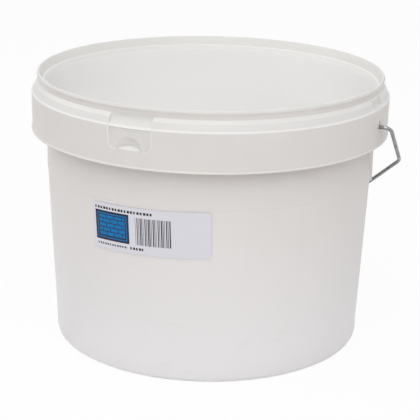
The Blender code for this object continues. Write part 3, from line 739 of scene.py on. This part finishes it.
def bend_along(corners, degrees_a_step=6):
    """Extrudes the selected section along each straight and spins it round each bend."""
    here = Vector(corners[0])
    for last, corner, after in zip(corners, corners[1:], corners[2:]):
        turn_at = Vector(corner[:2])
        radius = corner[2]
        come = (turn_at - Vector(last[:2])).normalized()
        leave = (Vector(after[:2]) - turn_at).normalized()
        turn = come.angle_signed(leave)
        back = radius * math.tan(abs(turn) / 2)
        start = turn_at - come * back
        extrude((start - here).to_3d())
        side = Vector((come.y, -come.x)) * (1 if turn > 0 else -1)
        steps = max(4, round(abs(math.degrees(turn)) / degrees_a_step))
        swing(steps, -turn, (start + side * radius).to_3d())
        here = turn_at + leave * back
    extrude((Vector(corners[-1][:2]) - here).to_3d())


def model_bail():
    """One round wire, made from its middle to one hook and mirrored."""
    wire = flat_circle()
    bend_along(bail_corners())
    extrude((0.0, -WIRE_END, 0.0))
    bpy.ops.transform.resize(value=(WIRE_END_SHARE, 1.0, WIRE_END_SHARE))
    bpy.ops.mesh.edge_face_add()
    in_object_mode()
    bpy.ops.object.modifier_add(type="MIRROR")
    mirror = wire.modifiers[-1]
    mirror.use_clip = True
    mirror.merge_threshold = 0.01 * MM
    bpy.ops.object.modifier_apply(modifier=mirror.name)
    wire.rotation_euler.x = -HANG_ANGLE
    wire.location.z = PIVOT_Z
    settle(wire)
    close_up(wire)
    smooth(wire, angle=40)
    return wire


# ---- grip ----

def grip_outline():
    """Half section of the grip along Z, with a waist between two fuller ends and rings between them."""
    half = (GRIP_HIGH.x - GRIP_LOW.x) / 2
    bore = WIRE_R + GRIP_CLEARANCE
    shoulder = half * GRIP_SHOULDER
    outline = [
        (bore, half),
        (bore, -half),
        (GRIP_END_R, -half, GRIP_END_ROUND),
        (GRIP_R, -shoulder, GRIP_SHOULDER_ROUND),
    ]
    pitch = 2 * half * RINGS_LENGTH / RINGS
    for n in range(RINGS):
        middle = (n - (RINGS - 1) / 2) * pitch
        top = GRIP_R - (GRIP_R - GRIP_WAIST_R) * (1 - (middle / shoulder) ** 2)
        foot = top - GROOVE
        outline += [
            (foot, middle - pitch * RING_FOOT / 2, CRISP_ROUND),
            (top, middle - pitch * RING_TOP / 2, SMALL_ROUND),
            (top, middle + pitch * RING_TOP / 2, SMALL_ROUND),
            (foot, middle + pitch * RING_FOOT / 2, CRISP_ROUND),
        ]
    outline += [
        (GRIP_R, shoulder, GRIP_SHOULDER_ROUND),
        (GRIP_END_R, half, GRIP_END_ROUND),
    ]
    points = rounded(outline)
    return points + points[:1]


def model_grip():
    """A turned tube laid along X, round the middle of the bail."""
    grip = turned("grip_tube", grip_outline(), steps=64)
    grip.rotation_euler.y = math.pi / 2
    grip.location = GRIP_AXIS
    settle(grip)
    close_up(grip)
    smooth(grip, angle=40)
    return grip


# ---- label ----

def round_corner(u, v):
    """Draws a point of the square grid in where the film's corner is round."""
    straight_u = LABEL_WIDTH / 2 - LABEL_CORNER
    straight_v = LABEL_HEIGHT / 2 - LABEL_CORNER
    past_u = abs(u) - straight_u
    past_v = abs(v) - straight_v
    if past_u <= 0 or past_v <= 0:
        return u, v
    shrink = max(past_u, past_v) / math.hypot(past_u, past_v)
    return (math.copysign(straight_u + past_u * shrink, u), math.copysign(straight_v + past_v * shrink, v))


def on_wall(u, v):
    """A point of the flat film, tilted and wrapped round the wall."""
    across = u * math.cos(LABEL_TILT) - v * math.sin(LABEL_TILT) + LABEL_OFFSET
    z = LABEL_Z + u * math.sin(LABEL_TILT) + v * math.cos(LABEL_TILT)
    angle = across / wall_radius(LABEL_Z)
    radius = wall_radius(min(z, RING_Z - RING_STEP)) + LABEL_GAP
    return (radius * math.sin(angle), -radius * math.cos(angle), z)


def model_label():
    """A grid wrapped round the wall, with round corners and the thickness of a film."""
    choose_nothing()
    bpy.ops.mesh.primitive_grid_add(x_subdivisions=112, y_subdivisions=24, size=1.0, calc_uvs=True)
    label = bpy.context.object
    label.name = "label_film"
    label.scale = (LABEL_WIDTH, LABEL_HEIGHT, 1.0)
    settle(label)
    for vertex in label.data.vertices:
        vertex.co = on_wall(*round_corner(vertex.co.x, vertex.co.y))
    edit(label)
    bpy.ops.mesh.select_all(action="SELECT")
    bpy.ops.mesh.normals_make_consistent(inside=False)
    in_object_mode()
    if label.data.polygons[0].normal.y > 0:
        label.data.flip_normals()
    bpy.ops.object.modifier_add(type="SOLIDIFY")
    film = label.modifiers[-1]
    film.thickness = LABEL_THICKNESS
    film.offset = 1.0
    bpy.ops.object.modifier_apply(modifier=film.name)
    smooth(label, angle=40)
    return label


# ---- materials ----

class Socket:
    """A node's output that adds Math nodes when it is used in an expression."""

    def __init__(self, nodes, socket):
        self.nodes = nodes
        self.socket = socket

    def _math(self, operation, *values):
        return self.nodes.add("ShaderNodeMath", {"operation": operation}, dict(enumerate(values)))

    def __add__(self, other):
        return self._math("ADD", self, other)

    __radd__ = __add__

    def __mul__(self, other):
        return self._math("MULTIPLY", self, other)

    __rmul__ = __mul__

    def __sub__(self, other):
        return self._math("SUBTRACT", self, other)

    def __rsub__(self, other):
        return self._math("SUBTRACT", other, self)

    def __truediv__(self, other):
        return self._math("DIVIDE", self, other)

    def __rtruediv__(self, other):
        return self._math("DIVIDE", other, self)

    def __gt__(self, other):
        return self._math("GREATER_THAN", self, other)

    def __lt__(self, other):
        return self._math("LESS_THAN", self, other)

    def __abs__(self):
        return self._math("ABSOLUTE", self)

    def root(self):
        return self._math("SQRT", self)

    def floor(self):
        return self._math("FLOOR", self)

    def fract(self):
        return self._math("FRACT", self)

    def modulo(self, other):
        return self._math("FLOORED_MODULO", self, other)

    def least(self, other):
        return self._math("MINIMUM", self, other)

    def most(self, other):
        return self._math("MAXIMUM", self, other)


class Nodes:
    """The nodes of one material or world under construction."""

    def __init__(self, tree):
        self.tree = tree

    def add(self, kind, settings=None, inputs=None, output=0):
        """Adds a node: its settings first, then the values or links of its sockets."""
        made = self.tree.nodes.new(kind)
        for key, value in (settings or {}).items():
            setattr(made, key, value)
        for key, value in (inputs or {}).items():
            self.feed(made.inputs[key], value)
        return Socket(self, made.outputs[output])

    def feed(self, socket, value):
        if isinstance(value, Socket):
            self.tree.links.new(value.socket, socket)
        else:
            socket.default_value = value

    def mix_shaders(self, factor, first, second):
        return self.add("ShaderNodeMixShader", None, {0: factor, 1: first, 2: second})

    def direct_ray(self):
        """1 for a ray from the camera, or one mirrored or let through on its way, 0 for any other."""
        camera, glossy, transmission = [self.add("ShaderNodeLightPath", output=f"Is {kind} Ray")
                                        for kind in ("Camera", "Glossy", "Transmission")]
        return camera.most(glossy).most(transmission)


class Finish(Nodes):
    """A material with one Principled shader."""

    def __init__(self, name, **settings):
        self.material = bpy.data.materials.new(name)
        self.material.use_nodes = True
        super().__init__(self.material.node_tree)
        self.shader = self.tree.nodes["Principled BSDF"]
        for socket, value in settings.items():
            self.set(socket.replace("_", " "), value)

    def set(self, socket, value):
        self.feed(self.shader.inputs[socket], value)

    def place(self, output="Object"):
        return self.add("ShaderNodeTexCoord", output=output)

    def axes(self, output="Object"):
        """The three coordinates of the shaded point."""
        place = self.place(output)
        return [self.add("ShaderNodeSeparateXYZ", None, {"Vector": place}, output=axis) for axis in "XYZ"]

    def stretched(self, *scale):
        """The place, scaled by its own amount along each axis."""
        return self.add("ShaderNodeMapping", None, {"Vector": self.place(), "Scale": scale})

    def noise(self, vector, scale=1.0, detail=3.0, roughness=0.5):
        return self.add("ShaderNodeTexNoise", None,
                        {"Vector": vector, "Scale": scale, "Detail": detail, "Roughness": roughness})

    def mix(self, factor, first, second):
        """One colour over another. The sockets of colours are the node's seventh and eighth."""
        return self.add("ShaderNodeMix", {"data_type": "RGBA"}, {0: factor, 6: first, 7: second}, output=2)

    def ramp(self, value, low, high):
        return self.add("ShaderNodeMapRange", None, {"Value": value, "From Min": low, "From Max": high})

    def bump(self, height, strength, distance):
        return self.add("ShaderNodeBump", None,
                        {"Height": height, "Strength": strength, "Distance": distance})

    def paint(self, colour, zones):
        """Lays each zone's colour over the ones before it, through its mask."""
        for mask, tone in zones:
            colour = self.mix(mask, colour, tone)
        self.set("Base Color", colour)


def rgb(red, green, blue):
    """A colour in display values from 0 to 255 as the linear colour that a shader takes."""
    def linear(value):
        value /= 255
        return value / 12.92 if value <= 0.04045 else ((value + 0.055) / 1.055) ** 2.4
    return (linear(red), linear(green), linear(blue), 1.0)


WHITE = rgb(255, 255, 255)
# a painted highlight along the tab's slit
SLIT_HIGHLIGHT_TONE = rgb(248, 248, 247)
PAPER = rgb(225, 224, 232)
PAPER_DEEP = rgb(220, 219, 227)
INK_NAVY = rgb(46, 44, 68)
INK_BLUE = rgb(0, 118, 182)
INK_BLACK = rgb(34, 34, 38)
INK_GREY = rgb(96, 96, 102)

TONE_LEAD = 0.1 * MM        # a zone of another tone starts this far before the edge that bounds it
NECK_TONE_LOW = 0.3 * MM    # the shaded neck's tone starts this far above the ledge
BEAD_TONE_DROP = 0.7 * MM   # and gives way to the bead's this far below the bead's widest line
NECK_SKIN = 0.5 * MM        # depth behind the neck's face that still takes its tone
BEAD_SKIN = 0.3 * MM        # the same behind the crown's outer edge
SCUFF_TOP = 75.0 * MM       # scuffs fade in from here down
SCUFF_FULL = 10.0 * MM      # to here


def between(value, low, high):
    return (value > low) * (value < high)


def inside_tub(radius, z):
    """1 on the surfaces that face the tub's inside, 0 on the outer ones, from the middle of the wall."""
    body_slope = (THROAT_R - RING_STEP - FOOT_BAND_R) / (RING_Z - FOOT_BAND)
    flare_slope = (FLARED_R - THROAT_R) / (NECK_Z - COLLAR_BOTTOM_Z)
    body = ((z - FOOT_BAND) * body_slope + FOOT_BAND_R).least(THROAT_R)
    flare = ((z - COLLAR_BOTTOM_Z) * flare_slope).most(0.0)
    return (radius < body + flare - WALL / 2) * between(z, FOOT_RISE + FLOOR / 2, SHELF_FOOT_Z)


def slit_highlight(x, y, z):
    """1 in a fine line along the tab's slit, where a highlight is painted for the light its edges catch, 0
    elsewhere.
    """
    out = abs(x) - (TAB_WIDTH / 2 - TAB_CORNER)
    down = (TAB_BOTTOM_Z + TAB_CORNER) - z
    past = (out.most(0.0) * out.most(0.0) + down.most(0.0) * down.most(0.0)).root()
    off_line = abs(past + out.most(down).least(0.0) - TAB_CORNER)
    beside_scoop = abs(x) > SCOOP_R
    return (off_line < SLIT_HIGHLIGHT_HALF) * beside_scoop * (z < COLLAR_TOP_Z) * (y < 0.0)


def moulded_white(name, light, deep):
    """Injection-moulded polypropylene: milky, satin, with a faint flow and a fine orange peel.

    Returns the finish and its colour, for zones to be painted over.
    """
    finish = Finish(name, Subsurface_Weight=0.35, Subsurface_Scale=0.003, Specular_IOR_Level=0.45,
                    Subsurface_Radius=(1.0, 0.93, 0.88))
    cloud = finish.noise(finish.place(), scale=9.0)
    flow = finish.noise(finish.stretched(40.0, 40.0, 2.5), detail=4.0, roughness=0.6)
    colour = finish.mix(finish.ramp(cloud * 0.6 + flow * 0.4, 0.35, 0.65), deep, light)
    finish.set("Base Color", colour)
    scuff = finish.noise(finish.stretched(90.0, 90.0, 260.0), detail=6.0, roughness=0.7)
    finish.set("Roughness", finish.ramp(scuff, 0.3, 0.7) * 0.14 + 0.36)
    peel = finish.noise(finish.place(), scale=700.0, detail=2.0)
    finish.set("Normal", finish.bump(peel + flow * 0.6, strength=0.12, distance=0.2 * MM))
    return finish, colour


def tub_white():
    """The tub's plastic, with painted light and shade: paler low on the wall, inside, on up-facing slopes
    and on edges, darker on the bead and neck.
    """
    finish, colour = moulded_white("moulded_white", rgb(225, 222, 219), rgb(221, 218, 215))
    x, y, z = finish.axes()
    radius = (x * x + y * y).root()
    above = TUB_HEIGHT * 2
    neck = between(z, NECK_Z + NECK_TONE_LOW, BEAD_Z - BEAD_TONE_DROP) * (radius > NECK_R - NECK_SKIN)
    scoop = between(z, TAB_BOTTOM_Z - SCOOP_DEPTH, TAB_BOTTOM_Z + SCOOP_R) * (abs(x) < SCOOP_R) * (y < 0.0)
    marks = finish.noise(finish.stretched(26.0, 26.0, 60.0), detail=6.0, roughness=0.75)
    streaks = finish.noise(finish.stretched(30.0, 30.0, 420.0), detail=4.0, roughness=0.6)
    low_down = finish.ramp(z, SCUFF_TOP, SCUFF_FULL) * (radius > FOOT_R - FOOT_FILLET)
    finish.paint(colour, (
        # painted light: the wall grows paler towards the foot, out of the collar's shade and nearer the
        # floor's bounce
        (finish.ramp(z, COLLAR_BOTTOM_Z, FOOT_BAND), rgb(234, 233, 234)),
        # a painted highlight on the collar's chamfer, then painted light on the lower and the upper slope
        # of the ledge, which face up to the lamps, lighter on the upper one and the rim
        (between(z, COLLAR_TOP_Z - TONE_LEAD, COLLAR_TOP_Z + CHAMFER), rgb(237, 236, 235)),
        (between(z, COLLAR_TOP_Z + CHAMFER, STEP_Z), rgb(226, 225, 223)),
        (between(z, STEP_Z, above), rgb(232, 232, 230)),
        # painted shade on the bead's face, and on the neck in the bead's shade
        (between(z, BEAD_Z - BEAD_TONE_DROP, above) * (radius > CROWN_R - BEAD_SKIN), rgb(223, 222, 220)),
        (neck, rgb(222, 219, 216)),
        # painted light inside, for light let through the thin walls: on the shelf, a painted highlight
        # along the foot of the seat, and on the wall and floor
        (between(z, SHELF_FOOT_Z, SEAT_Z - SHELF_FALL) * (radius < SEAT_R), rgb(234, 234, 232)),
        (between(z, SEAT_Z - SHELF_FALL, SEAT_Z) * (radius < SEAT_R), rgb(240, 240, 239)),
        (inside_tub(radius, z), rgb(252, 252, 251)),
        # painted light on the thumb ramp, which faces up, and the painted highlight along the slit round
        # the tab
        (scoop * between(radius, NECK_R, PANEL_R - TONE_LEAD), rgb(235, 234, 232)),
        (slit_highlight(x, y, z), SLIT_HIGHLIGHT_TONE),
        # scuffs
        (finish.ramp(marks * 0.6 + streaks * 0.4, 0.56, 0.7) * low_down * 0.4, rgb(206, 200, 193)),
    ))
    return finish.material


def tab_white():
    """The tab's plastic, with painted light on its slope, a painted highlight on its lip and a painted
    highlight along its slit.
    """
    finish, colour = moulded_white("moulded_white_tab", rgb(224, 222, 219), rgb(220, 218, 215))
    x, y, z = finish.axes()
    finish.paint(colour, (
        # painted light on the slope, a painted highlight on the lip, then the painted highlight along the
        # slit
        (z > COLLAR_TOP_Z + CHAMFER, rgb(227, 226, 223)),
        (between(z, COLLAR_TOP_Z - LIP_DEPTH, COLLAR_TOP_Z + CHAMFER), rgb(238, 238, 236)),
        (slit_highlight(x, y, z), SLIT_HIGHLIGHT_TONE),
    ))
    return finish.material


def grip_white():
    return moulded_white("moulded_white_grip", rgb(226, 226, 224), rgb(220, 220, 218))[0].material


def zinc_wire():
    """Drawn steel wire with a dull zinc coat, streaked along its length."""
    finish = Finish("drawn_zinc_wire", Metallic=1.0)
    patch = finish.noise(finish.place(), scale=260.0, detail=5.0, roughness=0.6)
    streak = finish.noise(finish.stretched(900.0, 160.0, 160.0))
    tone = finish.ramp(patch * 0.5 + streak * 0.5, 0.35, 0.65)
    finish.set("Base Color", finish.mix(tone, rgb(118, 120, 119), rgb(170, 173, 173)))
    finish.set("Roughness", tone * 0.1 + 0.16)
    finish.set("Normal", finish.bump(streak, strength=0.15, distance=0.1 * MM))
    return finish.material


# ---- print on the label ----

# Areas of the film, in millimetres from its lower left corner: left, right, low, high
SIGN = (3.4, 38.8, 8.6, 35.5)
BAR_FIELD = (45.1, 77.9, 9.0, 33.8)
UPPER_RULE = (3.4, 61.0, 36.9, 39.2)
LOWER_RULE = (5.0, 36.4, 4.2, 6.0)
BOLD_RULE = (39.4, 52.0, 4.0, 6.3)

SIGN_MARGIN = 2.0           # sign's edge to the line round the bricks
SIGN_LINE = 1.0
BRICK_MARGIN = 4.0          # sign's edge to the bricks
COURSE = 4.0                # height of a course of bricks, with its joint
BRICK = 8.2                 # length of a brick, with its joint
JOINT = 0.8

UPPER_PITCH = 3.1           # from dash to dash in each rule, and from bar to bar
LOWER_PITCH = 2.6
BOLD_PITCH = 2.8
BAR_PITCH = 1.49
SPREAD = 0.618              # a count times this, less its whole part, gives even but unlike shares


class Print:
    """Masks on the film: 1 where there is ink, 0 elsewhere."""

    def __init__(self, finish):
        along, rise, _ = finish.axes("UV")
        self.across = along * (LABEL_WIDTH / MM)
        self.up = rise * (LABEL_HEIGHT / MM)

    def area(self, left, right, low, high):
        return between(self.across, left, right) * between(self.up, low, high)

    def inset(self, area, by):
        left, right, low, high = area
        return self.area(left + by, right - by, low + by, high - by)

    def stripes(self, area, pitch, least=0.5, spread=0.3):
        """Upright stripes that start a pitch apart and differ in width, as shares of the pitch."""
        along = (self.across - area[0]) / pitch
        width = (along.floor() * SPREAD).fract() * spread + least
        return self.area(*area) * (along.fract() < width)

    def bricks(self):
        """Courses of bricks, every other one shifted by half a brick."""
        courses = (self.up - (SIGN[2] + BRICK_MARGIN - JOINT / 2)) / COURSE
        shift = courses.floor().modulo(2.0) / 2
        bricks = (self.across - (SIGN[0] + BRICK_MARGIN - JOINT / 2)) / BRICK + shift
        faces = (courses.fract() > JOINT / COURSE) * (bricks.fract() > JOINT / BRICK)
        return faces * self.inset(SIGN, BRICK_MARGIN)

    def sign_line(self):
        return self.inset(SIGN, SIGN_MARGIN) * (1.0 - self.inset(SIGN, SIGN_MARGIN + SIGN_LINE))


def printed_film():
    """A lilac-white film with a block of laid bricks, a field of bars and broken rules."""
    finish = Finish("printed_film", Specular_IOR_Level=0.2)
    ink = Print(finish)
    grain = finish.noise(finish.place(), scale=600.0)
    sign = ink.area(*SIGN)
    bars = ink.stripes(BAR_FIELD, BAR_PITCH, least=0.22, spread=0.5)
    rules = ink.stripes(UPPER_RULE, UPPER_PITCH).most(ink.stripes(BOLD_RULE, BOLD_PITCH))
    finish.paint(finish.mix(grain, PAPER_DEEP, PAPER), (
        (sign, INK_NAVY),
        (ink.bricks().most(ink.sign_line()), INK_BLUE),
        (rules.most(bars), INK_BLACK),
        (ink.stripes(LOWER_RULE, LOWER_PITCH), INK_GREY),
    ))
    finish.set("Roughness", sign * -0.08 + 0.5)
    finish.set("Normal", finish.bump(grain, strength=0.08, distance=0.1 * MM))
    return finish.material


def give(item, material):
    item.data.materials.clear()
    item.data.materials.append(material)


# ---- assembly ----

tub = model_tub()
give(tub, tub_white())
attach(tub, "tub")
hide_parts("tub")

tab = model_tab()
give(tab, tab_white())
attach(tab, "tear_tab")
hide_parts("tear_tab")

bail = model_bail()
give(bail, zinc_wire())
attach(bail, "bail")
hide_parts("bail_wire")

grip = model_grip()
give(grip, grip_white())
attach(grip, "grip")
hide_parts("grip")

label = model_label()
give(label, printed_film())
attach(label, "tub")
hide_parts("label")


# ---- floor, light and camera ----

STUDIO_SIZE = 12.0
STUDIO_DROP = 0.2 * MM      # the floor lies this far below the tub's foot
PLAIN_SHARE = 0.93          # how much of the floor is seen as plain white, with no shadow
AMBIENT = (1.0, 0.975, 0.965, 1.0)
AMBIENT_STRENGTH = 0.53
LAMP_DISTANCE = 2.2
LAMP_SIZE = 1.6
LAMPS = (
    # name, azimuth and elevation in degrees, power in watts
    ("key", 24.0, 40.0, 12.9),
    ("over", 24.0, 70.0, 4.9),
    ("left", -75.0, 34.0, 7.4),
    ("right", 70.0, 35.0, 2.3),
    ("behind", 200.0, 55.0, 1.1),
)

VIEW_DISTANCE = 1.4
VIEW_ELEVATION = 0.3007     # in radians, as is the roll
VIEW_AZIMUTH = math.radians(24.2)
VIEW_ROLL = 0.019
VIEW_TARGET = Vector((0.0, 0.0, 0.1305))
VIEW_LENS = 126.65
VIEW_SENSOR = 36.0
VIEW_SHIFT_X = 0.0031
VIEW_SHIFT_Y = -0.0376
VIEW_NEAR = 0.05


def lay_floor():
    """A wide pale floor that is nearly white where it is seen, and keeps the tub's shadow."""
    choose_nothing()
    bpy.ops.mesh.primitive_plane_add(size=STUDIO_SIZE, location=(0.0, 0.0, -STUDIO_DROP))
    floor = bpy.context.object
    floor.name = "studio_floor"
    settle(floor)
    finish = Finish("studio_floor", Roughness=0.9)
    patches = finish.noise(finish.place(), scale=4.0)
    finish.set("Base Color", finish.mix(patches, rgb(246, 246, 247), rgb(249, 249, 250)))
    shaded = Socket(finish, finish.shader.outputs["BSDF"])
    plain = finish.add("ShaderNodeEmission", None, {"Color": WHITE, "Strength": 1.0})
    surface = finish.mix_shaders(finish.direct_ray() * PLAIN_SHARE, shaded, plain)
    finish.feed(finish.tree.nodes["Material Output"].inputs["Surface"], surface)
    give(floor, finish.material)


def light_world():
    """Even light from all round, and plain white where the world itself is seen."""
    world = bpy.data.worlds.new("studio")
    bpy.context.scene.world = world
    world.use_nodes = True
    nodes = Nodes(world.node_tree)
    ambient = nodes.add("ShaderNodeBackground", None, {"Color": AMBIENT, "Strength": AMBIENT_STRENGTH})
    backdrop = nodes.add("ShaderNodeBackground", None, {"Color": WHITE, "Strength": 1.0})
    surface = nodes.mix_shaders(nodes.direct_ray(), ambient, backdrop)
    nodes.feed(nodes.tree.nodes["World Output"].inputs["Surface"], surface)


def outwards(azimuth, elevation):
    """A direction from the tub. Azimuth 0 is in front of the tab, and grows towards +X."""
    return Vector((math.sin(azimuth) * math.cos(elevation),
                   -math.cos(azimuth) * math.cos(elevation), math.sin(elevation)))


def softbox(name, azimuth, elevation, power):
    """A round area lamp that faces the tub."""
    out = outwards(math.radians(azimuth), math.radians(elevation))
    data = bpy.data.lights.new(name, "AREA")
    data.shape = "DISK"
    data.size = LAMP_SIZE
    data.energy = power
    lamp = bpy.data.objects.new(name, data)
    bpy.context.scene.collection.objects.link(lamp)
    lamp.location = Vector((0.0, 0.0, TUB_HEIGHT / 2)) + out * LAMP_DISTANCE
    lamp.rotation_euler = (-out).to_track_quat("-Z", "Y").to_euler()


def set_camera():
    data = bpy.data.cameras.new("view")
    data.sensor_width = VIEW_SENSOR
    data.lens = VIEW_LENS
    data.shift_x = VIEW_SHIFT_X
    data.shift_y = VIEW_SHIFT_Y
    data.clip_start = VIEW_NEAR
    camera = bpy.data.objects.new("view", data)
    bpy.context.scene.collection.objects.link(camera)
    out = outwards(VIEW_AZIMUTH, VIEW_ELEVATION)
    camera.location = VIEW_TARGET + out * VIEW_DISTANCE
    facing = (-out).to_track_quat("-Z", "Y").to_matrix()
    camera.rotation_euler = (facing @ Matrix.Rotation(VIEW_ROLL, 3, "Z")).to_euler()
    bpy.context.scene.camera = camera


lay_floor()
light_world()
for lamp in LAMPS:
    softbox(*lamp)
set_camera()
bpy.context.scene.view_settings.view_transform = "Standard"
